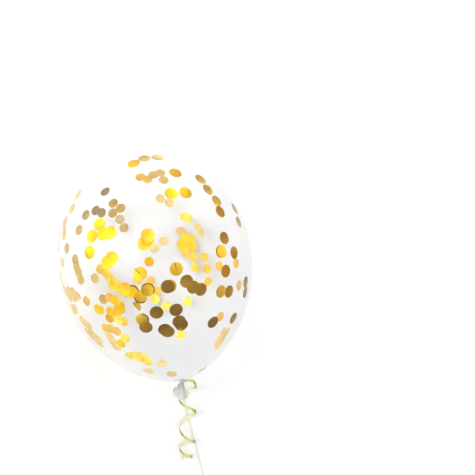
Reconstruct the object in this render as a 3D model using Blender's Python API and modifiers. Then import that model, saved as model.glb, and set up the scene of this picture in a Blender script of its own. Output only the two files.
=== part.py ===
"""Clear latex party balloon lying on its side, with a curled ribbon and a string at its neck.

The balloon is one dipped piece that is tied shut, so here it is one closed solid: the body, the
neck, the knot and the flared tail with its rolled lip. It lies on a small flat spot, and its pitch
is worked out so that the centre of its volume is right above that spot.

Units are metres, +Z is up, +Y points to the crown and -Y to the neck. The origin is the centre of
the flat spot. Distances along the balloon are measured from its widest circle, towards the neck.
"""

import math

import bpy
from mathutils import Matrix, Vector

# Balloon body
BALLOON_WIDTH = 0.300       # across the widest circle
CROWN_DEPTH = 0.180         # from the widest circle to the crown
SHOULDER_DEPTH = 0.195      # from the widest circle to where the neck begins
SHOULDER_FULLNESS = 0.60    # exponent of the shoulder's outline: 0.5 is an ellipse, more is leaner
SHOULDER_RUN_OUT = 0.975    # share of the shoulder's depth where it starts to draw into the neck
FLAT_SPOT_RADIUS = 0.028    # half the width of the flat that the balloon lies on

# Neck, knot and tail
NECK_WIDTH = 0.0084
NECK_DRAW = 0.002           # the shoulder has drawn into the neck this far past its depth
KNOT_WIDTH = 0.0112
TAIL_WAIST_WIDTH = 0.0100    # right below the knot
TAIL_WIDTH = 0.0255         # across the rolled lip
TAIL_LENGTH = 0.0177        # from the knot's centre to the lip's end
TAIL_DISH = 0.0035          # depth of the hollow inside the lip
TAIL_LEAN = math.radians(38)   # the tail lies over to the side by this much
TAIL_DROOP = math.radians(35)  # and hangs down by this much
LIP_THICKNESS = 0.0026

# Ribbon, string and what they are tied with
STRING_WIDTH = 0.0020
TIE_LENGTH = 0.0028         # how much of the neck the string's hitch takes
STRING_KNOT_WIDTH = 0.0056
STRING_KNOT_LENGTH = 0.0070
RIBBON_WIDTH = 0.0050
CURL_WIDTH = 0.0320         # outer width of the curled ribbon
CLEARANCE = 0.0003          # between pieces that touch

# Fineness of the meshes
BODY_STEPS = 72
CROWN_RINGS = 17
SHOULDER_RINGS = 19
NECK_RINGS = 5
TAIL_STEPS = 32
ROUTE_SPACING = 0.006

# Routes, as places that the cords pass through, in metres
RIBBON_LEAD_ROUTE = [
    (0.0072, -0.1967, 0.1398),
    (0.0102, -0.1976, 0.1412),
    (0.0139, -0.1997, 0.1405),
    (0.0165, -0.2037, 0.1375),
    (0.0181, -0.2090, 0.1325),
    (0.0187, -0.2146, 0.1235),
    (0.0188, -0.2193, 0.1100),
    (0.0190, -0.2248, 0.0900),
    (0.0192, -0.2303, 0.0700),
    (0.0192, -0.2352, 0.0500),
    (0.0188, -0.2400, 0.0310),
]
RIBBON_CURL_ROUTE = [
    (0.0044, -0.2385, 0.0188),
    (0.0003, -0.2601, 0.0188),
    (-0.0046, -0.2862, 0.0188),
    (-0.0104, -0.3137, 0.0188),
    (-0.0164, -0.3384, 0.0175),
    (-0.0196, -0.3507, 0.0167),
    (-0.0236, -0.3645, 0.0164),
    (-0.0255, -0.3710, 0.0163),
]
STRING_ROUTE = [
    (0.0000, -0.1965, 0.1331),
    (0.0003, -0.1985, 0.1260),
    (0.0005, -0.2018, 0.1150),
    (0.0005, -0.2062, 0.1000),
    (0.0000, -0.2098, 0.0800),
    (-0.0010, -0.2135, 0.0600),
    (-0.0020, -0.2175, 0.0400),
    (-0.0030, -0.2222, 0.0200),
    (-0.0040, -0.2272, 0.0075),
    (-0.0050, -0.2345, 0.0018),
    (-0.0058, -0.2450, 0.0013),
    (-0.0064, -0.2570, 0.0013),
    (-0.0066, -0.2700, 0.0013),
    (-0.0067, -0.2949, 0.0013),
    (-0.0043, -0.3160, 0.0013),
    (-0.0040, -0.3368, 0.0013),
    (-0.0024, -0.3597, 0.0013),
    (-0.0014, -0.3770, 0.0013),
    (-0.0009, -0.4130, 0.0013),
    (-0.0004, -0.4280, 0.0018),
]

# Worked out from the sizes above
BALLOON_RADIUS = BALLOON_WIDTH / 2
NECK_RADIUS = NECK_WIDTH / 2
NECK_START = SHOULDER_DEPTH + NECK_DRAW
TIE_DISTANCE = NECK_START + CLEARANCE + TIE_LENGTH / 2
KNOT_DISTANCE = TIE_DISTANCE + TIE_LENGTH / 2 + CLEARANCE + KNOT_WIDTH / 2
STRING_RADIUS = STRING_WIDTH / 2
CLOSE = 0.00001             # vertices nearer than this are one


def shoulder_radius(share):
    """Radius of the shoulder at this share of its depth."""
    return BALLOON_RADIUS * (1 - share ** 2) ** SHOULDER_FULLNESS


def shoulder_slope(share):
    """How fast that radius changes with the distance along the balloon."""
    fall = (1 - share ** 2) ** (SHOULDER_FULLNESS - 1)
    return -2 * SHOULDER_FULLNESS * BALLOON_RADIUS * share * fall / SHOULDER_DEPTH


def body_outline():
    """The body from its crown to the neck's end, as (distance, radius) pairs."""
    outline = []
    for ring in range(CROWN_RINGS):
        angle = math.pi / 2 * ring / CROWN_RINGS
        outline.append((-CROWN_DEPTH * math.cos(angle), BALLOON_RADIUS * math.sin(angle)))
    last_angle = math.asin(SHOULDER_RUN_OUT)
    for ring in range(SHOULDER_RINGS):
        share = math.sin(last_angle * ring / (SHOULDER_RINGS - 1))
        outline.append((SHOULDER_DEPTH * share, shoulder_radius(share)))
    start = Vector(outline[-1])
    drop = (NECK_RADIUS - start.y) / shoulder_slope(SHOULDER_RUN_OUT)
    corner = Vector((start.x + drop, NECK_RADIUS))
    end = Vector((NECK_START, NECK_RADIUS))
    for ring in range(1, NECK_RINGS + 1):
        t = ring / NECK_RINGS
        outline.append(tuple(start.lerp(corner, t).lerp(corner.lerp(end, t), t)))
    outline.append((KNOT_DISTANCE, NECK_RADIUS))
    return outline


def centre_of_volume(outline):
    """Distance of the centre of volume of the shape that this outline turns."""
    volume = moment = 0.0
    for (x0, r0), (x1, r1) in zip(outline, outline[1:]):
        slice_volume = (x1 - x0) * (r0 * r0 + r0 * r1 + r1 * r1)
        volume += slice_volume
        moment += slice_volume * (x0 + x1) / 2
    return moment / volume


def resting_place(centre):
    """The share of the shoulder's depth that touches the ground with this centre right above it."""
    low, high = 0.0, SHOULDER_RUN_OUT / 2
    for _ in range(60):
        share = (low + high) / 2
        foot = SHOULDER_DEPTH * share + shoulder_radius(share) * shoulder_slope(share)
        if foot < centre:
            low = share
        else:
            high = share
    return share


def lying_pose():
    """Places the turned balloon, whose own +Z points to its crown, on the ground."""
    centre = centre_of_volume(body_outline())
    share = resting_place(centre)
    pitch = math.atan(-shoulder_slope(share))
    towards_neck = Vector((0, -math.cos(pitch), -math.sin(pitch)))
    away_from_ground = Vector((0, -math.sin(pitch), math.cos(pitch)))
    flattening = BALLOON_RADIUS - math.sqrt(BALLOON_RADIUS ** 2 - FLAT_SPOT_RADIUS ** 2)
    touch = towards_neck * SHOULDER_DEPTH * share - away_from_ground * shoulder_radius(share)
    widest = Vector((0, -centre * towards_neck.y, -flattening - touch.z))
    return Matrix.Translation(widest) @ Matrix.Rotation(pitch - math.pi / 2, 4, "X")


def arc(centre_radius, centre_z, radius, first, last, count):
    """Points (radius, z) on an arc of a turned outline, with angles in degrees from its outside."""
    points = []
    for step in range(count):
        angle = math.radians(first + (last - first) * step / (count - 1))
        points.append((centre_radius + radius * math.cos(angle), centre_z + radius * math.sin(angle)))
    return points


def tail_outline():
    """Knot, flared tail and rolled lip, from the knot's top down to the middle of the lip's hollow."""
    knot_radius = KNOT_WIDTH / 2
    lip_radius = LIP_THICKNESS / 2
    lip_ring = TAIL_WIDTH / 2 - lip_radius
    lip_z = lip_radius - TAIL_LENGTH
    waist = TAIL_WAIST_WIDTH / 2
    knot = arc(0.0, 0.0, knot_radius, 90, 0, 6)
    knot[0] = (0.0, knot_radius)
    top_z = -math.sqrt(knot_radius ** 2 - waist ** 2)
    flare = []
    for step in range(7):
        t = step / 6
        spread = t * (2 - t)
        flare.append((waist + (lip_ring - waist) * spread, top_z + (lip_z + lip_radius - top_z) * t))
    lip = arc(lip_ring, lip_z, lip_radius, 60, -160, 7)
    dish = [(lip_ring * 0.55, lip_z - lip_radius + TAIL_DISH * 0.8), (0.0, lip_z - lip_radius + TAIL_DISH)]
    return knot + flare + lip + dish


def turned(name, outline, steps):
    """A solid turned about its own Z axis from an outline of (radius, z) points, top to bottom."""
    mesh = bpy.data.meshes.new(name)
    edges = [(i, i + 1) for i in range(len(outline) - 1)]
    mesh.from_pydata([(radius, 0, z) for radius, z in outline], edges, [])
    solid = bpy.data.objects.new(name, mesh)
    screw = solid.modifiers.new("Turn", "SCREW")
    screw.axis = "Z"
    screw.steps = steps
    screw.render_steps = steps
    screw.use_merge_vertices = True
    screw.merge_threshold = CLOSE
    screw.use_smooth_shade = True
    return solid


def file_in(collection, item):
    """Moves an object into this collection."""
    for old in item.users_collection:
        old.objects.unlink(item)
    collection.objects.link(item)


def boolean(solid, cutter, operation):
    """Joins a cutter to a solid, or cuts it out."""
    cutter.hide_render = True
    cutter.display_type = "WIRE"
    modifier = solid.modifiers.new(operation.title(), "BOOLEAN")
    modifier.operation = operation
    modifier.object = cutter


def smooth_route(places, spacing):
    """Evenly spaced points on the smooth curve (Catmull-Rom) through these places."""
    knots = [Vector(place) for place in places]
    knots = [2 * knots[0] - knots[1]] + knots + [2 * knots[-1] - knots[-2]]
    fine = []
    for before, a, b, after in zip(knots, knots[1:], knots[2:], knots[3:]):
        for step in range(24):
            t = step / 24
            fine.append(0.5 * (2 * a + (b - before) * t + (2 * before - 5 * a + 4 * b - after) * t ** 2
                               + (3 * a - before - 3 * b + after) * t ** 3))
    fine.append(knots[-2])
    length = sum((b - a).length for a, b in zip(fine, fine[1:]))
    count = max(2, round(length / spacing))
    points, walked, target = [fine[0]], 0.0, length / count
    for a, b in zip(fine, fine[1:]):
        step = (b - a).length
        while walked + step >= target - CLOSE and len(points) < count:
            points.append(a.lerp(b, (target - walked) / step))
            target += length / count
        walked += step
    return points + [fine[-1]]


def tube(name, places, width, spacing):
    """A round tube along a smooth route."""
    curve = bpy.data.curves.new(name, "CURVE")
    curve.dimensions = "3D"
    curve.bevel_depth = width / 2
    curve.bevel_resolution = 2
    curve.use_fill_caps = True
    curve.render_resolution_u = 0
    points = smooth_route(places, spacing)
    spline = curve.splines.new("POLY")
    spline.points.add(len(points) - 1)
    for target, point in zip(spline.points, points):
        target.co = (*point, 1)
    return bpy.data.objects.new(name, curve)


def finish(name, colour, roughness, metallic=0.0, alpha=1.0):
    """A plain finish for one sort of piece."""
    material = bpy.data.materials.new(name)
    material.use_nodes = True
    shader = material.node_tree.nodes["Principled BSDF"]
    shader.inputs["Base Color"].default_value = (*colour, 1)
    shader.inputs["Roughness"].default_value = roughness
    shader.inputs["Metallic"].default_value = metallic
    shader.inputs["Alpha"].default_value = alpha
    return material


def build_balloon(parts, cutters, pose, latex):
    """Body and neck, with the knot and tail joined on and the flat spot cut away."""
    outline = [(radius, -distance) for distance, radius in body_outline()]
    body = turned("balloon", outline + [(0.0, -KNOT_DISTANCE)], BODY_STEPS)
    body.matrix_world = pose
    body.data.materials.append(latex)
    file_in(parts, body)

    tail = turned("knot_and_tail", tail_outline(), TAIL_STEPS)
    lean = Matrix.Rotation(TAIL_LEAN, 4, "Y") @ Matrix.Rotation(TAIL_DROOP, 4, "X")
    tail.matrix_world = pose @ Matrix.Translation((0, 0, -KNOT_DISTANCE)) @ lean
    file_in(cutters, tail)
    boolean(body, tail, "UNION")

    bpy.ops.mesh.primitive_cube_add(size=BALLOON_WIDTH, location=(0, 0, -BALLOON_WIDTH / 2))
    ground = bpy.context.object
    ground.name = "ground_below"
    file_in(cutters, ground)
    boolean(body, ground, "DIFFERENCE")


def build_neck_tie(parts, pose, thread):
    """The string's hitch round the neck, between the shoulder and the knot."""
    inner_radius = NECK_RADIUS + CLEARANCE
    bpy.ops.mesh.primitive_torus_add(major_radius=inner_radius + STRING_RADIUS, minor_radius=STRING_RADIUS,
                                     major_segments=32, minor_segments=10)
    tie = bpy.context.object
    tie.name = "neck_tie"
    tie.data.transform(Matrix.Diagonal((1, 1, TIE_LENGTH / STRING_WIDTH, 1)))
    tie.matrix_world = pose @ Matrix.Translation((0, 0, -TIE_DISTANCE))
    tie.data.materials.append(thread)
    file_in(parts, tie)


def build_string_knot(parts, thread):
    """The knot in the string's far end, lying on the ground."""
    end = Vector(STRING_ROUTE[-1])
    along = (end - Vector(STRING_ROUTE[-2])).normalized()
    along.z = 0
    bpy.ops.mesh.primitive_uv_sphere_add(segments=16, ring_count=10, radius=0.5)
    knot = bpy.context.object
    knot.name = "string_knot"
    knot.data.transform(Matrix.Diagonal((STRING_KNOT_WIDTH, STRING_KNOT_LENGTH, STRING_KNOT_WIDTH, 1)))
    centre = end + along * (STRING_KNOT_LENGTH / 2 + STRING_RADIUS / 2)
    centre.z = STRING_KNOT_WIDTH / 2 + CLEARANCE
    knot.location = centre
    knot.data.materials.append(thread)
    file_in(parts, knot)


def main():
    for item in list(bpy.data.objects):
        bpy.data.objects.remove(item, do_unlink=True)
    parts = bpy.data.collections.new("confetti_balloon")
    cutters = bpy.data.collections.new("cutters")
    for collection in (parts, cutters):
        bpy.context.scene.collection.children.link(collection)

    latex = finish("clear_latex", (0.90, 0.90, 0.89), 0.08, alpha=0.25)
    foil = finish("gold_ribbon", (0.78, 0.68, 0.30), 0.28, metallic=0.9)
    thread = finish("pale_gold_string", (0.75, 0.73, 0.52), 0.6)

    pose = lying_pose()
    build_balloon(parts, cutters, pose, latex)
    build_neck_tie(parts, pose, thread)

    cords = [
        tube("ribbon_lead", RIBBON_LEAD_ROUTE, RIBBON_WIDTH, ROUTE_SPACING * 0.75),
        tube("ribbon_curl", RIBBON_CURL_ROUTE, CURL_WIDTH, ROUTE_SPACING * 2),
        tube("string", STRING_ROUTE, STRING_WIDTH, ROUTE_SPACING),
    ]
    for cord, material in zip(cords, (foil, foil, thread)):
        cord.data.materials.append(material)
        file_in(parts, cord)
    build_string_knot(parts, thread)


main()
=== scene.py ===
"""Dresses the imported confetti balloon: clear skin, knot and tail, foil discs, curled ribbon and string.

The balloon lies on its side with its crown to +Y and its neck to -Y. Places on its wall are given in
the balloon's own terms: millimetres along from the widest circle towards the neck, and degrees round
the axis from the top, positive towards +X.
"""

import logging
import math
import random
from dataclasses import dataclass
from enum import Enum
from typing import Callable

import bpy
from mathutils import Matrix, Vector


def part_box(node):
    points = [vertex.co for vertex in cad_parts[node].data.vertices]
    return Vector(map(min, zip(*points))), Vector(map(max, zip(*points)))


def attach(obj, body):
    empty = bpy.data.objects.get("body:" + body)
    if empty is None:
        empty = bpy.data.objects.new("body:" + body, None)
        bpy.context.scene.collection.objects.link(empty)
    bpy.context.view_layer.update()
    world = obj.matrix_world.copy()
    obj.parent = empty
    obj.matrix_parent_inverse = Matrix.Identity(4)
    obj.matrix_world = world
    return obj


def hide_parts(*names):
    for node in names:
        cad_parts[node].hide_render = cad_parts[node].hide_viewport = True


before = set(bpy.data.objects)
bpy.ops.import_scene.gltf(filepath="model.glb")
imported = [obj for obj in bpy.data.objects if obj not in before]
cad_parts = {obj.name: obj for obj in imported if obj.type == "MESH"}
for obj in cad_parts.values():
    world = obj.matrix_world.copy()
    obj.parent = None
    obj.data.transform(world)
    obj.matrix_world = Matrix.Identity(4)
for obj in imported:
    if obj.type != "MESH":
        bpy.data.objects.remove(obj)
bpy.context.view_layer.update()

log = logging.getLogger("confetti_balloon")

Pair = tuple[float, float]
Place = tuple[float, float, float]
Colour = tuple[float, float, float, float]
Socket = bpy.types.NodeSocket

ROOT = "root"
CLOSE = 1e-6
MERGE_DISTANCE = CLOSE * 5
SPAN_STEPS = 24
FRAME_PIXELS = 475
SEED = 12


# Sizes shared with the part's source, in metres

@dataclass(frozen=True)
class BalloonForm:
    """Shape and pose of the blown-up balloon, by the same formulas as its solid.

    The solid's own rings, on crown, shoulder and neck, give its centre of volume, and the flat spot
    that it rests on lies under that.
    """

    radius: float = 0.150
    crown_depth: float = 0.180
    shoulder_depth: float = 0.195
    fullness: float = 0.60
    run_out: float = 0.975
    flat_spot: float = 0.028
    neck_radius: float = 0.0042
    neck_draw: float = 0.002
    tie_distance: float = 0.1987
    knot_distance: float = 0.2060
    solid_rings: tuple[int, int, int] = (17, 19, 5)
    halvings: int = 60
    slope_step: float = 1e-4
    steepest: float = 30.0

    def shoulder(self, share: float) -> float:
        """Radius of the shoulder at this share of its depth."""
        return self.radius * max(0.0, 1 - share ** 2) ** self.fullness

    def shoulder_slope(self, share: float) -> float:
        """How fast that radius changes with the distance along the balloon."""
        fall = (1 - share ** 2) ** (self.fullness - 1)
        return -2 * self.fullness * self.radius * share * fall / self.shoulder_depth

    def outline(self, crown_rings: int, shoulder_rings: int, neck_rings: int) -> list[Pair]:
        """The body from its crown to the knot.

        Args:
            crown_rings: Rings from the crown to the widest circle.
            shoulder_rings: Rings from there to where the neck begins to draw in.
            neck_rings: Rings on the curve into the neck.

        Returns:
            Pairs of distance from the widest circle, towards the neck, and radius.
        """
        pairs = []
        for ring in range(crown_rings):
            angle = math.pi / 2 * ring / crown_rings
            pairs.append((-self.crown_depth * math.cos(angle), self.radius * math.sin(angle)))
        last = math.asin(self.run_out)
        for ring in range(shoulder_rings):
            share = math.sin(last * ring / (shoulder_rings - 1))
            pairs.append((self.shoulder_depth * share, self.shoulder(share)))
        start = Vector(pairs[-1])
        drop = (self.neck_radius - start.y) / self.shoulder_slope(self.run_out)
        corner = Vector((start.x + drop, self.neck_radius))
        end = Vector((self.shoulder_depth + self.neck_draw, self.neck_radius))
        for ring in range(1, neck_rings + 1):
            t = ring / neck_rings
            pairs.append(tuple(start.lerp(corner, t).lerp(corner.lerp(end, t), t)))
        pairs.append((self.knot_distance, self.neck_radius))
        return pairs

    def pose(self) -> Matrix:
        """Lays the turned balloon, whose own +Z points to its crown, on its flat spot.

        Returns:
            The matrix from the balloon's own frame to the part's.
        """
        volume = moment = 0.0
        pairs = self.outline(*self.solid_rings)
        for (x0, r0), (x1, r1) in zip(pairs, pairs[1:]):
            part = (x1 - x0) * (r0 * r0 + r0 * r1 + r1 * r1)
            volume += part
            moment += part * (x0 + x1) / 2
        centre = moment / volume
        low, high = 0.0, self.run_out / 2
        for _ in range(self.halvings):
            share = (low + high) / 2
            foot = self.shoulder_depth * share + self.shoulder(share) * self.shoulder_slope(share)
            low, high = (share, high) if foot < centre else (low, share)
        pitch = math.atan(-self.shoulder_slope(share))
        towards_neck = Vector((0, -math.cos(pitch), -math.sin(pitch)))
        away = Vector((0, -math.sin(pitch), math.cos(pitch)))
        flattening = self.radius - math.sqrt(self.radius ** 2 - self.flat_spot ** 2)
        touch = towards_neck * self.shoulder_depth * share - away * self.shoulder(share)
        widest = Vector((0, -centre * towards_neck.y, -flattening - touch.z))
        return Matrix.Translation(widest) @ Matrix.Rotation(pitch - math.pi / 2, 4, "X")

    def wall_radius(self, distance: float) -> float:
        """Radius of the wall.

        Args:
            distance: Metres from the widest circle, towards the neck.

        Returns:
            The radius there, in metres.
        """
        if distance < 0:
            return self.radius * math.sqrt(max(0.0, 1 - (distance / self.crown_depth) ** 2))
        return self.shoulder(min(1.0, distance / self.shoulder_depth))

    def off_wall(self, point: Vector) -> tuple[float, Vector]:
        """How far a point in the balloon's own frame is outside its wall.

        Args:
            point: A point in the frame whose +Z points to the crown.

        Returns:
            The distance, negative inside, and the direction straight out of the wall there.
        """
        reach = math.hypot(point.x, point.y)
        distance = -point.z
        rise = self.wall_radius(distance + self.slope_step) - self.wall_radius(distance - self.slope_step)
        slope = max(-self.steepest, min(self.steepest, rise / (2 * self.slope_step)))
        out = Vector((point.x / reach, point.y / reach, slope)) if reach > CLOSE else Vector((0, 0, 1))
        return (reach - self.wall_radius(distance)) / out.length, out.normalized()


BALLOON = BalloonForm()
POSE = BALLOON.pose()

# How far over the floor the skin's flat spot lies
FLAT_SPOT_SKIN = 0.0004

RIBBON_WIDTH = 0.0050
STRING_WIDTH = 0.0020
STRING_ROUTE = [
    (0.0000, -0.1965, 0.1331),
    (0.0003, -0.1985, 0.1260),
    (0.0005, -0.2018, 0.1150),
    (0.0005, -0.2062, 0.1000),
    (0.0000, -0.2098, 0.0800),
    (-0.0010, -0.2135, 0.0600),
    (-0.0020, -0.2175, 0.0400),
    (-0.0030, -0.2222, 0.0200),
    (-0.0040, -0.2272, 0.0075),
    (-0.0050, -0.2345, 0.0018),
    (-0.0058, -0.2450, 0.0013),
    (-0.0064, -0.2570, 0.0013),
    (-0.0066, -0.2700, 0.0013),
    (-0.0067, -0.2949, 0.0013),
    (-0.0043, -0.3160, 0.0013),
    (-0.0040, -0.3368, 0.0013),
    (-0.0024, -0.3597, 0.0013),
    (-0.0014, -0.3770, 0.0013),
    (-0.0009, -0.4130, 0.0013),
    (-0.0004, -0.4280, 0.0018),
]


# Colours

def linear(red: int, green: int, blue: int) -> Colour:
    """Turns a screen colour into one that the shader takes.

    Args:
        red: The screen's red, from 0 to 255.
        green: The screen's green.
        blue: The screen's blue.

    Returns:
        The linear colour, opaque.
    """
    def one(value: int) -> float:
        """One channel, without the screen's curve."""
        share = value / 255
        return share / 12.92 if share <= 0.04045 else ((share + 0.055) / 1.055) ** 2.4
    return one(red), one(green), one(blue), 1.0


class Tone(Enum):
    """Tones of the gold foil with its light, shade and reflection painted in: dark bronze, umber and olive
    where the outward face would reflect a dark room, bright gold and lemon where the inward face is lit,
    paler and greyer where a disc lies under the skin's veil, and the shadow tone for painted shade.
    """

    SHADOW = linear(72, 48, 12)
    UMBER = linear(118, 87, 20)
    BRONZE = linear(140, 104, 28)
    BROWN = linear(160, 112, 4)
    OLIVE = linear(174, 148, 66)
    MOSS = linear(146, 116, 6)
    ANTIQUE = linear(190, 152, 40)
    OCHRE = linear(200, 159, 26)
    AMBER = linear(222, 174, 24)
    GOLD = linear(242, 191, 38)
    LEMON = linear(242, 208, 34)
    BUTTER = linear(250, 204, 32)
    CANARY = linear(250, 228, 96)
    STRAW = linear(244, 230, 140)
    SAND = linear(232, 208, 142)
    DUN = linear(198, 164, 98)
    PEWTER = linear(164, 144, 112)
    SUN = linear(242, 202, 84)
    PALE = linear(246, 228, 174)
    PEACH = linear(242, 214, 146)
    ORANGE = linear(237, 193, 98)
    TAN = linear(222, 190, 120)
    ROSE = linear(198, 174, 130)


# Shader nodes

class Recipe:
    """A new node material, filled in step by step."""

    def __init__(self, name: str) -> None:
        """Starts the material with one lone shader.

        Args:
            name: The material's name.
        """
        self.material = bpy.data.materials.new(name)
        self.material.use_nodes = True
        self.nodes = self.material.node_tree.nodes
        self.links = self.material.node_tree.links
        self.shader = self.nodes["Principled BSDF"]

    def node(self, kind: str, **settings: object) -> bpy.types.Node:
        """Adds a node.

        Args:
            kind: The node's type.
            settings: Its properties by name.

        Returns:
            The new node.
        """
        made = self.nodes.new(kind)
        for key, value in settings.items():
            setattr(made, key, value)
        return made

    def plain(self, **values: object) -> None:
        """Sets the shader's own sockets, named with underscores for spaces."""
        for key, value in values.items():
            self.shader.inputs[key.replace("_", " ")].default_value = value

    def place(self, output: str = "Object", scale: Place = (1, 1, 1)) -> Socket:
        """Coordinates of the piece itself, stretched by a mapping.

        Args:
            output: The texture coordinate to use, Object or UV.
            scale: How much the pattern is squeezed along each axis.

        Returns:
            The socket with the coordinates.
        """
        where = self.node("ShaderNodeTexCoord")
        mapping = self.node("ShaderNodeMapping")
        mapping.inputs["Scale"].default_value = scale
        self.links.new(where.outputs[output], mapping.inputs["Vector"])
        return mapping.outputs["Vector"]

    def noise(self, vector: Socket, scale: float, detail: float) -> Socket:
        """Adds a noise pattern.

        Args:
            vector: The coordinates that it follows.
            scale: How fine it is.
            detail: How many finer layers it has.

        Returns:
            The socket with its value.
        """
        made = self.node("ShaderNodeTexNoise")
        made.inputs["Scale"].default_value = scale
        made.inputs["Detail"].default_value = detail
        self.links.new(vector, made.inputs["Vector"])
        return made.outputs["Fac"]

    def attribute(self, name: str, output: str = "Fac") -> Socket:
        """A socket with one of the piece's own attributes."""
        return self.node("ShaderNodeAttribute", attribute_name=name).outputs[output]

    def spread(self, value: Socket, low: float, high: float, from_low: float = 0.3,
               from_high: float = 0.7) -> Socket:
        """Maps a pattern onto a range of numbers.

        Args:
            value: The pattern.
            low: What it becomes at from_low.
            high: What it becomes at from_high.
            from_low: Where the pattern's own range starts.
            from_high: Where that range ends.

        Returns:
            The socket with the new number.
        """
        made = self.node("ShaderNodeMapRange")
        numbers = {"From Min": from_low, "From Max": from_high, "To Min": low, "To Max": high}
        for key, number in numbers.items():
            made.inputs[key].default_value = number
        self.links.new(value, made.inputs["Value"])
        return made.outputs["Result"]

    def ramp(self, value: Socket, *stops: tuple[float, Colour]) -> Socket:
        """Maps a pattern onto colours.

        Args:
            value: The pattern.
            stops: Pairs of the pattern's value and its colour, in order.

        Returns:
            The socket with the colour.
        """
        made = self.node("ShaderNodeValToRGB")
        elements = made.color_ramp.elements
        while len(elements) < len(stops):
            elements.new(1.0)
        for element, (position, colour) in zip(elements, stops):
            element.position = position
            element.color = colour
        self.links.new(value, made.inputs["Fac"])
        return made.outputs["Color"]

    def mix(self, share: Socket | float, first: Socket | Colour, second: Socket | Colour,
            blend: str = "MIX") -> Socket:
        """Mixes two colours.

        Args:
            share: How much of the second colour there is, as a socket or a number.
            first: A socket or a plain colour.
            second: A socket or a plain colour.
            blend: The way of mixing.

        Returns:
            The socket with the mixed colour.
        """
        made = self.node("ShaderNodeMix", data_type="RGBA", blend_type=blend)
        for value, socket in ((share, made.inputs[0]), (first, made.inputs[6]), (second, made.inputs[7])):
            if isinstance(value, Socket):
                self.links.new(value, socket)
            else:
                socket.default_value = value
        return made.outputs[2]

    def feed(self, value: Socket, socket: str) -> None:
        """Links a value to one of the shader's sockets."""
        self.links.new(value, self.shader.inputs[socket])

    def bump(self, height: Socket, strength: float, distance: float) -> None:
        """Raises the surface by a pattern.

        Args:
            height: The pattern.
            strength: How much of it shows, from 0 to 1.
            distance: The most that it raises the surface, in metres.
        """
        made = self.node("ShaderNodeBump")
        made.inputs["Strength"].default_value = strength
        made.inputs["Distance"].default_value = distance
        self.links.new(height, made.inputs["Height"])
        self.feed(made.outputs["Normal"], "Normal")


@dataclass(frozen=True)
class StretchedLatex:
    """Clear skin, blown so thin that it only glosses what lies behind; its base colour greys it with painted
    shade, towards one side and in soft blotches.
    """

    haze: float = 0.007
    gloss: float = 1.24
    shade_towards: Place = (0.65, -0.76, 0.0)

    def make(self) -> bpy.types.Material:
        """Builds the material.

        Returns:
            The clear skin's finish.
        """
        mix = Recipe("stretched_clear_latex")
        where = mix.place()
        # Painted shade: the skin greys towards +X and the neck and in soft blotches, where it would reflect a
        # darker room.
        along = mix.node("ShaderNodeVectorMath", operation="DOT_PRODUCT")
        mix.links.new(where, along.inputs[0])
        along.inputs[1].default_value = self.shade_towards
        side = mix.spread(along.outputs["Value"], 0.0, 1.0, -0.08, 0.15)
        thin = mix.ramp(side, (0.0, linear(255, 255, 255)), (0.4, linear(249, 249, 250)),
                        (1.0, linear(241, 242, 244)))
        blotches = mix.ramp(mix.noise(where, 11.0, 2.0), (0.35, linear(247, 248, 249)),
                         (0.60, linear(255, 255, 255)))
        mix.feed(mix.mix(1.0, thin, blotches, "MULTIPLY"), "Base Color")
        mix.plain(Transmission_Weight=1 - self.haze, IOR=1.0, Roughness=0.0,
                  Coat_Weight=1.0, Coat_Roughness=0.02, Coat_IOR=self.gloss)
        mix.bump(mix.noise(where, 26.0, 2.0), 0.05, 0.001)
        return mix.material


@dataclass(frozen=True)
class SlackLatex:
    """Thick unstretched latex of the knot and the tail, milky and creased, with painted shade in its folds
    and painted highlight on their crests.
    """

    body: float = 0.97
    milk: float = 0.35
    milk_depth: float = 0.004

    def make(self) -> bpy.types.Material:
        """Builds the material.

        Returns:
            The slack latex's finish.
        """
        mix = Recipe("slack_clear_latex")
        where = mix.place()
        # Painted shade and highlight from the fold attribute: darker where the tail is tied, lighter on the
        # crests of its pleats.
        folds = mix.ramp(mix.attribute("fold"), (0.0, linear(136, 134, 130)), (0.45, linear(190, 190, 186)),
                         (1.0, linear(214, 214, 209)))
        blotches = mix.noise(where, 260.0, 4.0)
        mix.feed(mix.mix(mix.spread(blotches, 0.0, 0.25), folds, linear(172, 172, 166)), "Base Color")
        mix.feed(mix.spread(blotches, 0.30, 0.45), "Roughness")
        mix.plain(Alpha=self.body, Subsurface_Weight=self.milk, Subsurface_Radius=(self.milk_depth,) * 3,
                  IOR=1.45)
        mix.bump(mix.noise(where, 900.0, 5.0), 0.35, 0.0004)
        return mix.material


@dataclass(frozen=True)
class GoldFoil:
    """Thin foil whose tone is painted face by face with its light, shade and reflection, with streaks of
    painted reflection and faint wrinkles.
    """

    wrinkle: float = 0.25
    streak_stretch: Place = (1.0, 0.45, 1.0)

    def make(self) -> bpy.types.Material:
        """Builds the material.

        Returns:
            The foil's finish.
        """
        mix = Recipe("gold_foil_discs")
        where = mix.place()
        # Painted reflection: stretched streaks of lighter and darker tone across the foil.
        streak_noise = mix.noise(mix.place(scale=self.streak_stretch), 190.0, 3.0)
        shade = mix.ramp(streak_noise, (0.34, (0.88, 0.85, 0.80, 1)), (0.50, (0.99, 0.99, 0.98, 1)),
                         (0.68, (1.06, 1.05, 1.01, 1)))
        mix.feed(mix.mix(1.0, mix.attribute("foil_tone_and_painted_light", "Color"), shade, "MULTIPLY"), "Base Color")
        mix.feed(mix.spread(mix.noise(where, 420.0, 2.0), 0.28, 0.46), "Roughness")
        mix.plain(Metallic=0.10, Specular_IOR_Level=0.05)
        mix.bump(mix.noise(where, 300.0, 3.0), self.wrinkle, 0.0004)
        return mix.material


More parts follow.
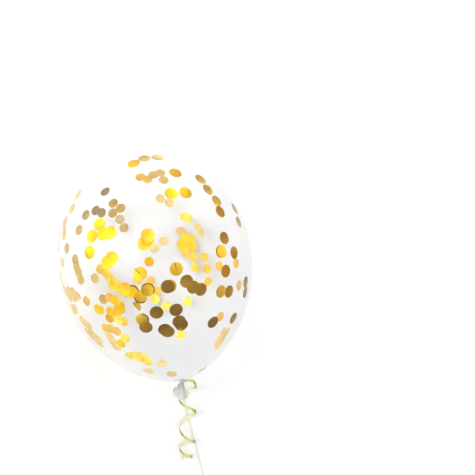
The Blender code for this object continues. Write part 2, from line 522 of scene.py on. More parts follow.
@dataclass(frozen=True)
class SatinRibbon:
    """Pale gold curling ribbon: olive gold outside, peach inside, ribbed along its length, with painted shade
    where it turns on its side and painted streaks of shade and highlight along it.
    """

    ribs: float = 9.0
    streak: float = 0.28

    def make(self) -> bpy.types.Material:
        """Builds the material.

        Returns:
            The ribbon's finish.
        """
        mix = Recipe("pale_gold_ribbon")
        ribs = mix.noise(mix.place("UV", (self.ribs, 0.4, 1)), 5.0, 2.0)
        along = mix.noise(mix.place("UV", (0.6, 2.0, 1)), 2.0, 3.0)
        # Painted shade: darker where a stretch is turned on its side, with painted streaks of shade and
        # highlight along the ribbon.
        streaked = mix.node("ShaderNodeMath", operation="ADD")
        mix.links.new(mix.attribute("sideways"), streaked.inputs[0])
        mix.links.new(mix.spread(along, -self.streak, self.streak), streaked.inputs[1])
        turned_away = streaked.outputs["Value"]
        outside = mix.ramp(turned_away, (0.0, linear(218, 220, 150)), (0.28, linear(176, 178, 92)),
                           (0.60, linear(120, 124, 64)), (0.90, linear(82, 86, 52)))
        inside = mix.ramp(turned_away, (0.0, linear(246, 240, 198)), (0.50, linear(232, 226, 156)),
                          (0.95, linear(184, 182, 114)))
        face = mix.mix(mix.attribute("outer_face"), inside, outside)
        mix.feed(mix.mix(mix.spread(ribs, 0.0, 0.30), face, linear(130, 130, 84), "MULTIPLY"), "Base Color")
        mix.feed(mix.spread(ribs, 0.24, 0.40), "Roughness")
        mix.plain(Metallic=0.35, Specular_IOR_Level=0.6)
        mix.bump(ribs, 0.3, 0.0002)
        return mix.material


@dataclass(frozen=True)
class TwistedThread:
    """String of two twisted yarns, pale olive unless told otherwise, with painted shade in the grooves
    between the yarns.
    """

    name: str = "pale_gold_thread"
    light: Colour = linear(234, 234, 208)
    dark: Colour = linear(198, 199, 160)

    def make(self) -> bpy.types.Material:
        """Builds the material.

        Returns:
            The string's finish.
        """
        mix = Recipe(self.name)
        fibre = mix.noise(mix.place("UV", (3.0, 40.0, 1)), 6.0, 4.0)
        # Painted shade: the thread darkens into the grooves between its yarns.
        body = mix.ramp(mix.attribute("groove"), (0.0, self.dark), (0.6, self.light))
        mix.feed(mix.mix(mix.spread(fibre, 0.0, 0.45), body, self.dark), "Base Color")
        mix.feed(mix.spread(fibre, 0.5, 0.75), "Roughness")
        mix.plain(Sheen_Weight=0.2)
        mix.bump(fibre, 0.4, 0.0002)
        return mix.material


@dataclass(frozen=True)
class StudioPaper:
    """White paper floor with a faint grain."""

    white: int = 231
    grain: int = 3

    def make(self) -> bpy.types.Material:
        """Builds the material.

        Returns:
            The floor's finish.
        """
        mix = Recipe("studio_paper")
        pattern = mix.noise(mix.place(), 30.0, 4.0)
        low, high = (linear(white, white, white) for white in (self.white - self.grain, self.white))
        mix.feed(mix.ramp(pattern, (0.3, low), (0.7, high)), "Base Color")
        mix.plain(Roughness=0.8, Specular_IOR_Level=0.1)
        return mix.material


# Shares and arcs

def held(share: float) -> float:
    """A share held between 0 and 1."""
    return max(0.0, min(1.0, share))


def eased(share: float) -> float:
    """A share held between 0 and 1 and eased at both ends."""
    t = held(share)
    return t * t * (3 - 2 * t)


def arc(centre: Pair, radii: Pair, start: float, turn: float, steps: int) -> list[Pair]:
    """Points on a stretch of an ellipse.

    Args:
        centre: The ellipse's middle.
        radii: Its two half widths.
        start: Where the stretch starts, in degrees.
        turn: How far it runs, in degrees, negative for clockwise.
        steps: How many steps it has.

    Returns:
        One point more than there are steps.
    """
    points = []
    for step in range(steps + 1):
        angle = math.radians(start + turn * step / steps)
        points.append((centre[0] + radii[0] * math.cos(angle), centre[1] + radii[1] * math.sin(angle)))
    return points


# Mesh helpers

def select_only(item: bpy.types.Object) -> None:
    """Selects one object alone and makes it the active one.

    Args:
        item: The object.
    """
    bpy.ops.object.select_all(action="DESELECT")
    item.select_set(True)
    bpy.context.view_layer.objects.active = item


def edit(item: bpy.types.Object) -> None:
    """Opens one object for editing, with everything in it selected.

    Args:
        item: The object.
    """
    select_only(item)
    bpy.ops.object.mode_set(mode="EDIT")
    bpy.ops.mesh.select_all(action="SELECT")


def edit_faces(item: bpy.types.Object, wanted: Callable[[bpy.types.MeshPolygon], bool]) -> None:
    """Opens one object for editing, with only some faces selected.

    Args:
        item: The object.
        wanted: Says of a face whether it is selected.
    """
    edit(item)
    bpy.ops.mesh.select_mode(type="FACE")
    bpy.ops.mesh.select_all(action="DESELECT")
    leave_edit()
    for polygon in item.data.polygons:
        polygon.select = wanted(polygon)
    bpy.ops.object.mode_set(mode="EDIT")


def leave_edit() -> None:
    """Closes the object being edited."""
    bpy.ops.object.mode_set(mode="OBJECT")


def turned(name: str, outline: list[Pair], steps: int) -> bpy.types.Object:
    """Extrudes an outline point by point and spins it about its own Z axis.

    Args:
        name: The piece's name.
        outline: Pairs of radius and height, from one pole to the other.
        steps: Sides of the turned shape.

    Returns:
        The closed turned object, at the origin.
    """
    radius, height = outline[0]
    bpy.ops.object.select_all(action="DESELECT")
    bpy.ops.mesh.primitive_plane_add(size=0.001, location=(0, 0, 0))
    item = bpy.context.object
    item.name = item.data.name = name
    edit(item)
    bpy.ops.mesh.merge(type="CENTER")
    bpy.ops.transform.translate(value=(radius, 0, height))
    for (r0, z0), (r1, z1) in zip(outline, outline[1:]):
        bpy.ops.mesh.extrude_region_move(TRANSFORM_OT_translate={"value": (r1 - r0, 0, z1 - z0)})
    bpy.ops.mesh.select_all(action="SELECT")
    bpy.ops.mesh.spin(steps=steps, angle=2 * math.pi, center=(0, 0, 0), axis=(0, 0, 1))
    bpy.ops.mesh.select_all(action="SELECT")
    bpy.ops.mesh.remove_doubles(threshold=MERGE_DISTANCE)
    bpy.ops.mesh.normals_make_consistent(inside=False)
    leave_edit()
    return item


def shape(item: bpy.types.Object, move: Callable[[Vector], Vector]) -> None:
    """Moves each vertex of a mesh by a rule.

    Args:
        item: The object.
        move: Gives a vertex's new place from its old one.
    """
    for vertex in item.data.vertices:
        vertex.co = move(vertex.co.copy())
    item.data.update()


def smooth(item: bpy.types.Object, angle: float) -> None:
    """Shades a piece smooth, except over edges sharper than this many degrees."""
    select_only(item)
    bpy.ops.object.shade_smooth_by_angle(angle=math.radians(angle))


def join(name: str, items: list[bpy.types.Object]) -> bpy.types.Object:
    """Joins pieces into the first of them.

    Args:
        name: The joined piece's name.
        items: The pieces.

    Returns:
        The joined piece.
    """
    select_only(items[0])
    for item in items:
        item.select_set(True)
    bpy.ops.object.join()
    items[0].name = items[0].data.name = name
    return items[0]


def finish(item: bpy.types.Object, material: bpy.types.Material,
           replaces: tuple[str, ...] = ()) -> None:
    """Gives a piece its material and its place in the part.

    Args:
        item: The piece.
        material: Its finish.
        replaces: The solids that it stands for.
    """
    item.data.materials.clear()
    item.data.materials.append(material)
    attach(item, ROOT)
    if replaces:
        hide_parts(*replaces)
    log.info("%s: %d faces", item.name, len(item.data.polygons))


# Lines and what is swept along them

def line_length(points: list[Vector]) -> float:
    """Length of a line through these points."""
    return sum((b - a).length for a, b in zip(points, points[1:]))


def smooth_route(places: list[Place] | list[Vector], spacing: float) -> list[Vector]:
    """Runs a smooth curve (Catmull-Rom) through some places.

    Args:
        places: The places, in order.
        spacing: How far apart the points are, in metres.

    Returns:
        Evenly spaced points on the curve.
    """
    knots = [Vector(place) for place in places]
    knots = [2 * knots[0] - knots[1]] + knots + [2 * knots[-1] - knots[-2]]
    fine = []
    for before, a, b, after in zip(knots, knots[1:], knots[2:], knots[3:]):
        for step in range(SPAN_STEPS):
            t = step / SPAN_STEPS
            fine.append(0.5 * (2 * a + (b - before) * t + (2 * before - 5 * a + 4 * b - after) * t ** 2
                               + (3 * a - before - 3 * b + after) * t ** 3))
    fine.append(knots[-2])
    return even(fine, spacing)


def even(points: list[Vector], spacing: float) -> list[Vector]:
    """Spaces the points of a line evenly.

    Args:
        points: The line.
        spacing: How far apart the new points are, in metres.

    Returns:
        The same line through the new points.
    """
    length = line_length(points)
    count = max(2, round(length / spacing))
    made, walked, target = [points[0]], 0.0, length / count
    for a, b in zip(points, points[1:]):
        step = (b - a).length
        while walked + step >= target - CLOSE and len(made) < count:
            made.append(a.lerp(b, (target - walked) / step))
            target += length / count
        walked += step
    return made + [points[-1]]


def softened(vectors: list[Vector]) -> list[Vector]:
    """Draws each vector of a row towards its neighbours.

    Args:
        vectors: The row, whose two ends are kept.

    Returns:
        The softer row.
    """
    inner = [(a + 2 * b + c) / 4 for a, b, c in zip(vectors, vectors[1:], vectors[2:])]
    return [vectors[0]] + inner + [vectors[-1]]


def heading(points: list[Vector], index: int) -> Vector:
    """Direction of a line at one of its points."""
    return (points[min(index + 1, len(points) - 1)] - points[max(index - 1, 0)]).normalized()


def carried_frames(points: list[Vector], first: Vector) -> list[Vector]:
    """Carries a direction along a line without twisting it.

    Args:
        points: The line.
        first: The direction to start from.

    Returns:
        For each point, the direction, square to the line.
    """
    made, current = [], first
    for index in range(len(points)):
        ahead = heading(points, index)
        current = (current - ahead * current.dot(ahead)).normalized()
        made.append(current)
    return made


def sweep(name: str, points: list[Vector], outs: list[Vector],
          section: Callable[[int], list[Pair]]) -> bpy.types.Object:
    """Skins a closed section along a line.

    Args:
        name: The piece's name.
        points: The line.
        outs: For each point, the direction of the section's second axis.
        section: Gives the section's corners at a point as (across, out) pairs in metres.

    Returns:
        The closed object, with a UV map of share round and distance along in centimetres.
    """
    vertices, along = [], []
    walked = 0.0
    for index, point in enumerate(points):
        ahead = heading(points, index)
        out = (outs[index] - ahead * outs[index].dot(ahead)).normalized()
        across = ahead.cross(out)
        vertices += [point + across * x + out * y for x, y in section(index)]
        walked += (point - points[index - 1]).length if index else 0.0
        along.append(walked * 100)
    faces, uvs = [], []
    count = len(section(0))
    for ring in range(len(points) - 1):
        here, there = ring * count, (ring + 1) * count
        for k in range(count):
            n = (k + 1) % count
            faces.append((here + k, here + n, there + n, there + k))
            uvs += [(k / count, along[ring]), ((k + 1) / count, along[ring]),
                    ((k + 1) / count, along[ring + 1]), (k / count, along[ring + 1])]
    last = (len(points) - 1) * count
    faces += [tuple(reversed(range(count))), tuple(range(last, last + count))]
    uvs += [(k / count, along[0]) for k in reversed(range(count))]
    uvs += [(k / count, along[-1]) for k in range(count)]
    mesh = bpy.data.meshes.new(name)
    mesh.from_pydata(vertices, [], faces)
    layer = mesh.uv_layers.new(name="along")
    for corner, uv in zip(layer.data, uvs):
        corner.uv = uv
    item = bpy.data.objects.new(name, mesh)
    bpy.context.scene.collection.objects.link(item)
    edit(item)
    bpy.ops.mesh.normals_make_consistent(inside=False)
    leave_edit()
    return item


# The camera

@dataclass(frozen=True)
class ViewingPoint:
    """The camera, hung straight above the widest circle's centre."""

    height: float = 0.770
    lens: float = 36.0
    sensor: float = 36.0
    widest_pixel: tuple[int, int] = (158, 260)
    turn: float = -12.0

    def set_up(self) -> None:
        """Makes the camera so that the widest circle's centre falls on its pixel."""
        data = bpy.data.cameras.new("viewing_point")
        data.sensor_width = self.sensor
        data.lens = self.lens
        camera = bpy.data.objects.new("viewing_point", data)
        bpy.context.scene.collection.objects.link(camera)
        focal = FRAME_PIXELS * self.lens / self.sensor
        middle = FRAME_PIXELS / 2
        ray = Vector(((self.widest_pixel[0] - middle) / focal, (middle - self.widest_pixel[1]) / focal, -1))
        aim = ray.normalized().rotation_difference(Vector((0, 0, -1)))
        spin = Matrix.Rotation(math.radians(self.turn), 4, "Z")
        camera.matrix_world = (Matrix.Translation(POSE.translation + Vector((0, 0, self.height)))
                               @ spin @ aim.to_matrix().to_4x4())
        bpy.context.scene.camera = camera


# The cords

@dataclass(frozen=True)
class Turn:
    """One extreme of the curl.

    Along is its distance on the curl's axis, angle its turn in degrees, and reach and lift are the
    curl's half width and half height there.
    """

    along: float
    angle: float
    reach: float
    lift: float


@dataclass(frozen=True)
class CurledRibbon:
    """Flat curling ribbon: a loop at the tie, a long drop behind the tail, and curls on the floor.

    The lead gives the ribbon's places and the way its outer face looks there. The axis is the curl's.
    """

    lead: tuple[tuple[Place, Place], ...] = (
        ((0.0062, -0.1965, 0.1397), (0.1, 0.1, 1.0)),
        ((0.0072, -0.1967, 0.1398), (0.1, 0.1, 1.0)),
        ((0.0102, -0.1976, 0.1412), (0.2, 0.0, 1.0)),
        ((0.0139, -0.1997, 0.1405), (0.45, -0.1, 0.9)),
        ((0.0165, -0.2037, 0.1375), (0.75, -0.1, 0.6)),
        ((0.0181, -0.2090, 0.1325), (0.95, 0.0, 0.3)),
        ((0.0187, -0.2146, 0.1235), (1.0, 0.1, 0.1)),
        ((0.0188, -0.2193, 0.1100), (1.0, 0.15, 0.0)),
        ((0.0190, -0.2248, 0.0900), (1.0, 0.10, 0.0)),
        ((0.0192, -0.2303, 0.0700), (1.0, 0.0, 0.0)),
        ((0.0192, -0.2352, 0.0500), (1.0, 0.10, 0.0)),
        ((0.0196, -0.2405, 0.0310), (1.0, 0.15, 0.0)),
    )
    axis: tuple[Place, ...] = (
        (0.0040, -0.2406, 0.0188),
        (0.0003, -0.2601, 0.0188),
        (-0.0046, -0.2862, 0.0188),
        (-0.0104, -0.3137, 0.0188),
        (-0.0164, -0.3384, 0.0175),
        (-0.0196, -0.3507, 0.0167),
        (-0.0236, -0.3645, 0.0164),
        (-0.0255, -0.3710, 0.0163),
    )
    turns: tuple[Turn, ...] = (
        Turn(0.0000, 360, 0.0163, 0.0150),
        Turn(0.0198, 180, 0.0160, 0.0150),
        Turn(0.0466, 0, 0.0156, 0.0155),
        Turn(0.0747, -180, 0.0154, 0.0155),
        Turn(0.1001, -360, 0.0148, 0.0145),
        Turn(0.1128, -540, 0.0138, 0.0140),
        Turn(0.1268, -720, 0.0112, 0.0120),
        Turn(0.1330, -860, 0.0100, 0.0105),
    )
    thickness: float = 0.00028
    camber: float = 0.00035
    strips: int = 6
    spacing: float = 0.0016
    axis_spacing: float = 0.0005
    curl_points: int = 110
    line_rounds: int = 6
    face_rounds: int = 4

    def build(self, material: bpy.types.Material) -> None:
        """Args:
            material: The ribbon's finish.
        """
        points, outs = self.centreline()
        strip = sweep("curled_ribbon", points, outs, lambda index: self.section())
        self.mark_outer_face(strip, outs)
        smooth(strip, angle=50)
        finish(strip, material, ("ribbon_lead", "ribbon_curl"))
        round(line_length(points), 3)
        [tuple(point) for point in points]
        log.info("ribbon length %.3f m", line_length(points))

    def centreline(self) -> tuple[list[Vector], list[Vector]]:
        """The ribbon's middle line.

        Returns:
            Its points, and the way its outer face looks at each of them.
        """
        floor_line = smooth_route(self.axis, self.axis_spacing)
        total = line_length(floor_line)
        rough = [Vector(place) for place, _ in self.lead]
        faces = [Vector(face).normalized() for _, face in self.lead]
        for step in range(1, self.curl_points + 1):
            along = self.turns[-1].along * step / self.curl_points
            where = min(along / total, 1.0) * (len(floor_line) - 1)
            index = min(int(where), len(floor_line) - 2)
            centre = floor_line[index].lerp(floor_line[index + 1], where - index)
            ahead = (floor_line[index + 1] - floor_line[index]).normalized()
            side = Vector((-ahead.y, ahead.x, 0)).normalized()
            up = side.cross(ahead) if side.cross(ahead).z > 0 else ahead.cross(side)
            angle = math.radians(self.between("angle", along))
            reach, lift = self.between("reach", along), self.between("lift", along)
            rough.append(centre + side * reach * math.cos(angle) + up * lift * math.sin(angle))
            faces.append((side * math.cos(angle) + up * math.sin(angle)).normalized())
        return self.relaxed(rough, faces)

    def between(self, name: str, along: float) -> float:
        """Reads one of the turns' numbers off a smooth line that doesn't overshoot them.

        Args:
            name: The number's name.
            along: The distance along the curl's axis.

        Returns:
            The number there.
        """
        xs = [turn.along for turn in self.turns]
        ys = [getattr(turn, name) for turn in self.turns]
        rises = [(y1 - y0) / (x1 - x0) for x0, x1, y0, y1 in zip(xs, xs[1:], ys, ys[1:])]
        slopes = [rises[0]]
        for a, b in zip(rises, rises[1:]):
            slopes.append(0.0 if a * b <= 0 else 2 * a * b / (a + b))
        slopes.append(rises[-1])
        i = max(k for k in range(len(xs) - 1) if along >= xs[k] or k == 0)
        width = xs[i + 1] - xs[i]
        t = (along - xs[i]) / width
        return ((2 * t ** 3 - 3 * t * t + 1) * ys[i] + (t ** 3 - 2 * t * t + t) * width * slopes[i]
                + (3 * t * t - 2 * t ** 3) * ys[i + 1] + (t ** 3 - t * t) * width * slopes[i + 1])

    def relaxed(self, rough: list[Vector], faces: list[Vector]) -> tuple[list[Vector], list[Vector]]:
        """Evens out a line and carries its face directions over to the new points.

        Args:
            rough: The line's points.
            faces: The way the outer face looks at each of them.

        Returns:
            The new points and their face directions.
        """
        points = smooth_route(rough, self.spacing)
        for _ in range(self.line_rounds):
            points = softened(points)
        distances = [0.0]
        for a, b in zip(rough, rough[1:]):
            distances.append(distances[-1] + (b - a).length)
        outs, k = [], 0
        for index in range(len(points)):
            target = distances[-1] * index / (len(points) - 1)
            while k < len(rough) - 2 and distances[k + 1] < target:
                k += 1
            share = held((target - distances[k]) / (distances[k + 1] - distances[k]))
            outs.append(faces[k].lerp(faces[k + 1], share).normalized())
        for _ in range(self.face_rounds):
            outs = [out.normalized() for out in softened(outs)]
        return points, outs

    def section(self) -> list[Pair]:
        """The thin, slightly cambered strip's section.

        Returns:
            Its corners, across and out.
        """
        upper, lower = [], []
        for step in range(self.strips + 1):
            share = step / self.strips * 2 - 1
            rise = self.camber * (1 - share ** 2) - self.camber / 2
            upper.append((RIBBON_WIDTH / 2 * share, rise + self.thickness / 2))
            lower.append((RIBBON_WIDTH / 2 * share, rise - self.thickness / 2))
        return upper + lower[::-1]

    def mark_outer_face(self, strip: bpy.types.Object, outs: list[Vector]) -> None:
        """Writes which faces are the ribbon's outer side, and how far each stretch is turned on its side,
        which the finish paints as shade.

        Args:
            strip: The ribbon.
            outs: The way its outer face looks at each point of its line.
        """
        per_ring, last = len(self.section()), len(outs) - 1
        outer = strip.data.attributes.new("outer_face", "FLOAT", "FACE")
        for polygon, value in zip(strip.data.polygons, outer.data):
            ring = min(polygon.index // per_ring, last)
            value.value = 1.0 if polygon.normal.dot(outs[ring]) > 0 else 0.0
        sideways = strip.data.attributes.new("sideways", "FLOAT", "POINT")
        for index, value in enumerate(sideways.data):
            value.value = 1 - abs(outs[min(index // per_ring, last)].z)


@dataclass(frozen=True)
class TetherString:
    """Thin twisted string from the tie to the floor and out in a loose line, with a knot in its end."""

    lobes: int = 2
    sides: int = 12
    twist_pitch: float = 0.0052
    groove_depth: float = 0.15
    spacing: float = 0.00055
    knot_width: float = 0.0056
    knot_thread: float = 0.00095
    knot_rise: float = 0.42
    knot_pitch: float = 0.0040
    knot_steps: int = 72
    knot_closing: float = 0.985

    def build(self, material: bpy.types.Material) -> None:
        """Args:
            material: The string's finish.
        """
        points = smooth_route(STRING_ROUTE, self.spacing)
        knot = self.end_knot(material)
        outs = carried_frames(points, Vector((1, 0, 0)))
        thread = self.twisted("tether_string", points, outs, STRING_WIDTH / 2, self.twist_pitch)
        finish(thread, material, ("string",))
        round(line_length(points), 3)
        [tuple(point) for point in points]
        log.info("string length %.3f m", line_length(points))

    def twisted(self, name: str, points: list[Vector], outs: list[Vector], radius: float,
                pitch: float) -> bpy.types.Object:
        """A two-yarn twist along a line, with its grooves written as an attribute for the painted shade.

        Args:
            name: The piece's name.
            points: The line.
            outs: For each point, a direction square to the line.
            radius: The string's radius.
            pitch: How far the twist runs in one full turn.

        Returns:
            The closed piece.
        """
        spacing = line_length(points) / (len(points) - 1)

        def section(index: int) -> list[Pair]:
            """The twist's section at one point of the line.

            Args:
                index: The point's number.

            Returns:
                The section's corners, across and out.
            """
            turn = 2 * math.pi * index * spacing / pitch
            corners = []
            for side in range(self.sides):
                angle = 2 * math.pi * side / self.sides
                groove = 0.5 - 0.5 * math.cos(self.lobes * (angle - turn))
                reach = radius * (1 - self.groove_depth * groove)
                corners.append((reach * math.cos(angle), reach * math.sin(angle)))
            return corners

        item = sweep(name, points, outs, section)
        layer = item.data.attributes.new("groove", "FLOAT", "POINT")
        for index in range(len(points)):
            for side, corner in enumerate(section(index)):
                share = (math.hypot(*corner) / radius - 1 + self.groove_depth) / self.groove_depth
                layer.data[index * self.sides + side].value = share
        smooth(item, angle=60)
        return item

    def end_knot(self, material: bpy.types.Material) -> bpy.types.Object:
        """An overhand knot drawn up tight, lying where its solid lies.

        Args:
            material: The string's finish.

        Returns:
            The knot.
        """
        low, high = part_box("string_knot")
        knot = self.overhand("string_end_knot", (low + high) / 2, self.knot_width, (high - low).y,
                             self.knot_thread)
        finish(knot, material, ("string_knot",))
        return knot

    def overhand(self, name: str, centre: Vector, width: float, length: float,
                 thread: float) -> bpy.types.Object:
        """A trefoil of thread.

        Args:
            name: The piece's name.
            centre: Where its middle is.
            width: How far it fills the X axis.
            length: How far it fills the Y axis.
            thread: The thread's radius.

        Returns:
            The closed piece.
        """
        trefoil_reach = 3.0
        points = []
        for step in range(self.knot_steps + 1):
            t = 2 * math.pi * step / self.knot_steps * self.knot_closing
            x = (math.sin(t) + 2 * math.sin(2 * t)) / trefoil_reach
            y = (math.cos(t) - 2 * math.cos(2 * t)) / trefoil_reach
            z = -math.sin(3 * t)
            points.append(centre + Vector((x * (width / 2 - thread), y * (length / 2 - thread),
                                           z * (width * self.knot_rise - thread))))
        return self.twisted(name, points, carried_frames(points, Vector((0, 0, 1))), thread, self.knot_pitch)


@dataclass(frozen=True)
class NeckTie:
    """The string's hitch: two turns round the neck, with a small knot where the ribbon leaves."""

    turns: int = 2
    steps_a_turn: int = 48
    start: float = -math.pi / 3
    thread: float = 0.0006
    bite: float = 0.9
    twist_pitch: float = 0.003
    knot_width: float = 0.0038
    knot_stretch: float = 0.9
    knot_shift: Place = (0.0008, -0.0006, 0.0014)

    def build(self, material: bpy.types.Material, maker: TetherString) -> None:
        """Builds the hitch in place of its solid.

        Args:
            material: The tie thread's finish, painted darker as shade.
            maker: The string, which knows how a thread is twisted and knotted.
        """
        tie = -BALLOON.tie_distance
        radius = BALLOON.neck_radius + self.thread * self.bite
        points = []
        for step in range(self.steps_a_turn * self.turns + 1):
            turn = step / self.steps_a_turn
            angle = 2 * math.pi * turn + self.start
            height = tie + self.thread * 2 * (turn - self.turns / 2)
            points.append(POSE @ Vector((radius * math.cos(angle), radius * math.sin(angle), height)))
        middle = POSE @ Vector((0, 0, tie))
        outs = [(point - middle).normalized() for point in points]
        coil = maker.twisted("tie_coil", points, outs, self.thread, self.twist_pitch)
        spot = POSE @ Vector((BALLOON.neck_radius + self.thread, 0, tie)) + Vector(self.knot_shift)
        knot = maker.overhand("tie_knot", spot, self.knot_width, self.knot_width * self.knot_stretch,
                              self.thread)
        finish(join("neck_hitch", [coil, knot]), material, ("neck_tie",))


# The balloon

@dataclass(frozen=True)
class BalloonSkin:
    """The clear blown body and its neck, one closed skin with fine puckers by the knot."""

    steps: int = 144
    rings: tuple[int, int, int] = (40, 44, 14)
    past_tie: float = 0.0026
    pucker_count: int = 17
    pucker_depth: float = 0.0011
    pucker_reach: float = 0.035
    pucker_sway: float = 0.8
    pucker_fade: float = 0.02

    def build(self, material: bpy.types.Material) -> None:
        """Builds the skin by the solid's own outline.

        Args:
            material: The clear latex.
        """
        end = -BALLOON.tie_distance - self.past_tie
        outline = [(radius, -distance) for distance, radius in BALLOON.outline(*self.rings)[:-1]]
        skin = turned("balloon_skin", outline + [(BALLOON.neck_radius, end), (0.0, end)], self.steps)
        shape(skin, self.pucker)
        skin.data.transform(POSE)
        edit(skin)
        bpy.ops.mesh.bisect(plane_co=(0, 0, FLAT_SPOT_SKIN), plane_no=(0, 0, 1), use_fill=True,
                            clear_inner=True)
        leave_edit()
        smooth(skin, angle=60)
        finish(skin, material, ("balloon",))

    def pucker(self, point: Vector) -> Vector:
        """Draws the latex into small pleats that run out from the neck.

        Args:
            point: A point of the even skin.

        Returns:
            Its place in the pleats.
        """
        start = BALLOON.shoulder_depth + BALLOON.neck_draw - self.pucker_reach
        share = held((-point.z - start) / self.pucker_reach)
        reach = math.hypot(point.x, point.y)
        if share <= 0 or reach < CLOSE:
            return point
        angle = math.atan2(point.y, point.x)
        wave = math.cos(self.pucker_count * angle + self.pucker_sway * math.sin(3 * angle))
        fade = share ** 3 * min(1.0, reach / self.pucker_fade)
        factor = 1 - self.pucker_depth * fade * (0.5 + 0.5 * wave) / reach
        return Vector((point.x * factor, point.y * factor, point.z))


@dataclass(frozen=True)
class Pleat:
    """One wave of the pleats round the tail: how many, how deep, and how far round they start."""

    count: int
    depth: float
    start: float = 0.0


@dataclass(frozen=True)
class KnotAndTail:
    """The knot in the neck and the slack flared tail with its rolled lip, leaning and drooping.

    Heights are measured from the knot's middle, where +Z still points to the crown.
    """

    steps: int = 96
    knot_radius: float = 0.0052
    knot_height: float = 0.0072
    knot_arc: float = 104.0
    knot_steps: int = 7
    below_knot: float = 0.0006
    waist: float = 0.0056
    length: float = 0.0177
    bell: float = 0.25
    flare_steps: int = 16
    lip_reach: float = 0.01145
    lip_radius: float = 0.0012
    lip_from: float = 70.0
    lip_arc: float = 270.0
    lip_steps: int = 10
    wall: float = 0.00176
    inner_steps: int = 11
    floor_rise: float = 0.0003
    lean: float = math.radians(13)
    droop: float = math.radians(35)
    bend_from: float = 0.0035
    bend_reach: float = 0.0110
    side_step: float = 0.0056
    step_from: float = 0.0085
    step_reach: float = 0.0060
    mouth_tilt: float = 0.42
    mouth_squeeze: float = 0.06
    gather_count: int = 9
    gather_depth: float = 0.07
    gather_twist: float = 160.0
    gather_place: float = 0.15
    pleat_depth: float = 0.10
    lip_wave: float = 0.0012
    lip_wave_from: float = 0.6
    lip_ripple: float = 0.0007
    pleats: tuple[Pleat, ...] = (Pleat(5, 0.50, 0.7), Pleat(3, 0.25, -1.1), Pleat(11, 0.25))
    shade_from: float = 0.002
    shade_reach: float = 0.00885
    shade_tied: float = 0.22
    shade_gain: float = 0.46
    shade_pleat: float = 0.24
    pleat_rest: float = 0.4

    def build(self, material: bpy.types.Material) -> None:
        """Builds knot and tail as one closed, hollow piece.

        Args:
            material: The slack latex.
        """
        tail = turned("knot_and_tail", self.outline(), self.steps)
        # The fold attribute carries the painted shade and highlight of the folds.
        folds = tail.data.attributes.new("fold", "FLOAT", "POINT")
        for vertex, value in zip(tail.data.vertices, folds.data):
            value.value = self.fold_shade(vertex.co)
        shape(tail, self.crumple)
        shape(tail, self.hang)
        tail.data.transform(POSE @ Matrix.Translation((0, 0, -BALLOON.knot_distance)))
        smooth(tail, angle=75)
        finish(tail, material, ("balloon",))

    def outline(self) -> list[Pair]:
        """Half the section: over the knot, down the flare, round the lip and back up inside.

        Returns:
            Pairs of radius and height, from the knot's top to the inside's floor.
        """
        knot = arc((0.0, 0.0), (self.knot_radius, self.knot_height), 90, -self.knot_arc, self.knot_steps)
        knot[0] = (0.0, self.knot_height)
        top = knot[-1][1] - self.below_knot
        lip_z = self.lip_radius - self.length
        flare = []
        for step in range(self.flare_steps + 1):
            share = step / self.flare_steps
            flare.append((self.flare(share), top + (lip_z + self.lip_radius - top) * share))
        lip = arc((self.lip_reach, lip_z), (self.lip_radius, self.lip_radius), self.lip_from, -self.lip_arc,
                  self.lip_steps)
        inner = []
        for step in range(1, self.inner_steps):
            share = 1 - step / self.inner_steps
            inner.append((self.flare(share) - self.wall, top + (lip_z - top) * share))
        return knot + flare + lip + inner + [(0.0, inner[-1][1] + self.floor_rise)]

    def flare(self, share: float) -> float:
        """Radius of the tail at this share of its length, a bell that opens steadily."""
        return self.waist + (self.lip_reach - self.waist) * ((1 - self.bell) * share + self.bell * share ** 2)

    def crumple(self, point: Vector) -> Vector:
        """Draws fine folds down the neck of the tail and pleats it more and more towards its lip.

        Args:
            point: A point of the turned tail.

        Returns:
            Its place in the folds.
        """
        reach = math.hypot(point.x, point.y)
        if reach < CLOSE:
            return point
        angle = math.atan2(point.y, point.x)
        share = held(-point.z / self.length)
        fold = self.gather_depth * math.cos(self.gather_count * angle + point.z * self.gather_twist)
        gather = fold * max(0.0, 1 - 2 * abs(share - self.gather_place))
        pleat = self.pleat(angle)
        factor = 1 + gather + share * self.pleat_depth * pleat
        wave = self.lip_wave * math.sin(2 * angle + self.lip_wave_from) + self.lip_ripple * pleat
        sag = (wave - self.mouth_tilt * point.x) * share ** 2
        squeeze = 1 - self.mouth_squeeze * share
        return Vector((point.x * factor, point.y * factor * squeeze, point.z + sag))

    def hang(self, point: Vector) -> Vector:
        """Steps the tail aside at the knot, then bends it over to where it leans and droops.

        Args:
            point: A point of the upright tail.

        Returns:
            Its place in the hanging one.
        """
        bent = eased((self.bend_from - point.z) / self.bend_reach)
        aside = self.side_step * eased((self.step_from - point.z) / self.step_reach)
        swing = Matrix.Rotation(self.lean * bent, 3, "Y") @ Matrix.Rotation(self.droop * bent, 3, "X")
        return swing @ point - Vector((aside, 0, 0))

    def pleat(self, angle: float) -> float:
        """How far a pleat stands out at this angle, from -1 to 1."""
        return sum(wave.depth * math.cos(wave.count * angle + wave.start) for wave in self.pleats)

    def fold_shade(self, point: Vector) -> float:
        """How light the latex is painted: painted shade where it is tied, painted highlight on the crests of
        its pleats.

        Args:
            point: A point of the turned tail.

        Returns:
            The shade there, from 0 to 1.
        """
        share = held((self.shade_from - point.z) / self.shade_reach)
        crest = self.pleat(math.atan2(point.y, point.x)) * (self.pleat_rest + share)
        return held(self.shade_tied + self.shade_gain * share + self.shade_pleat * crest)


# The foil discs

class Curl(Enum):
    """How a foil disc is bent."""

    LAID = "laid"
    LIFTED = "lifted"
    CREASED = "creased"
    CUPPED = "cupped"
    ROLLED = "rolled"


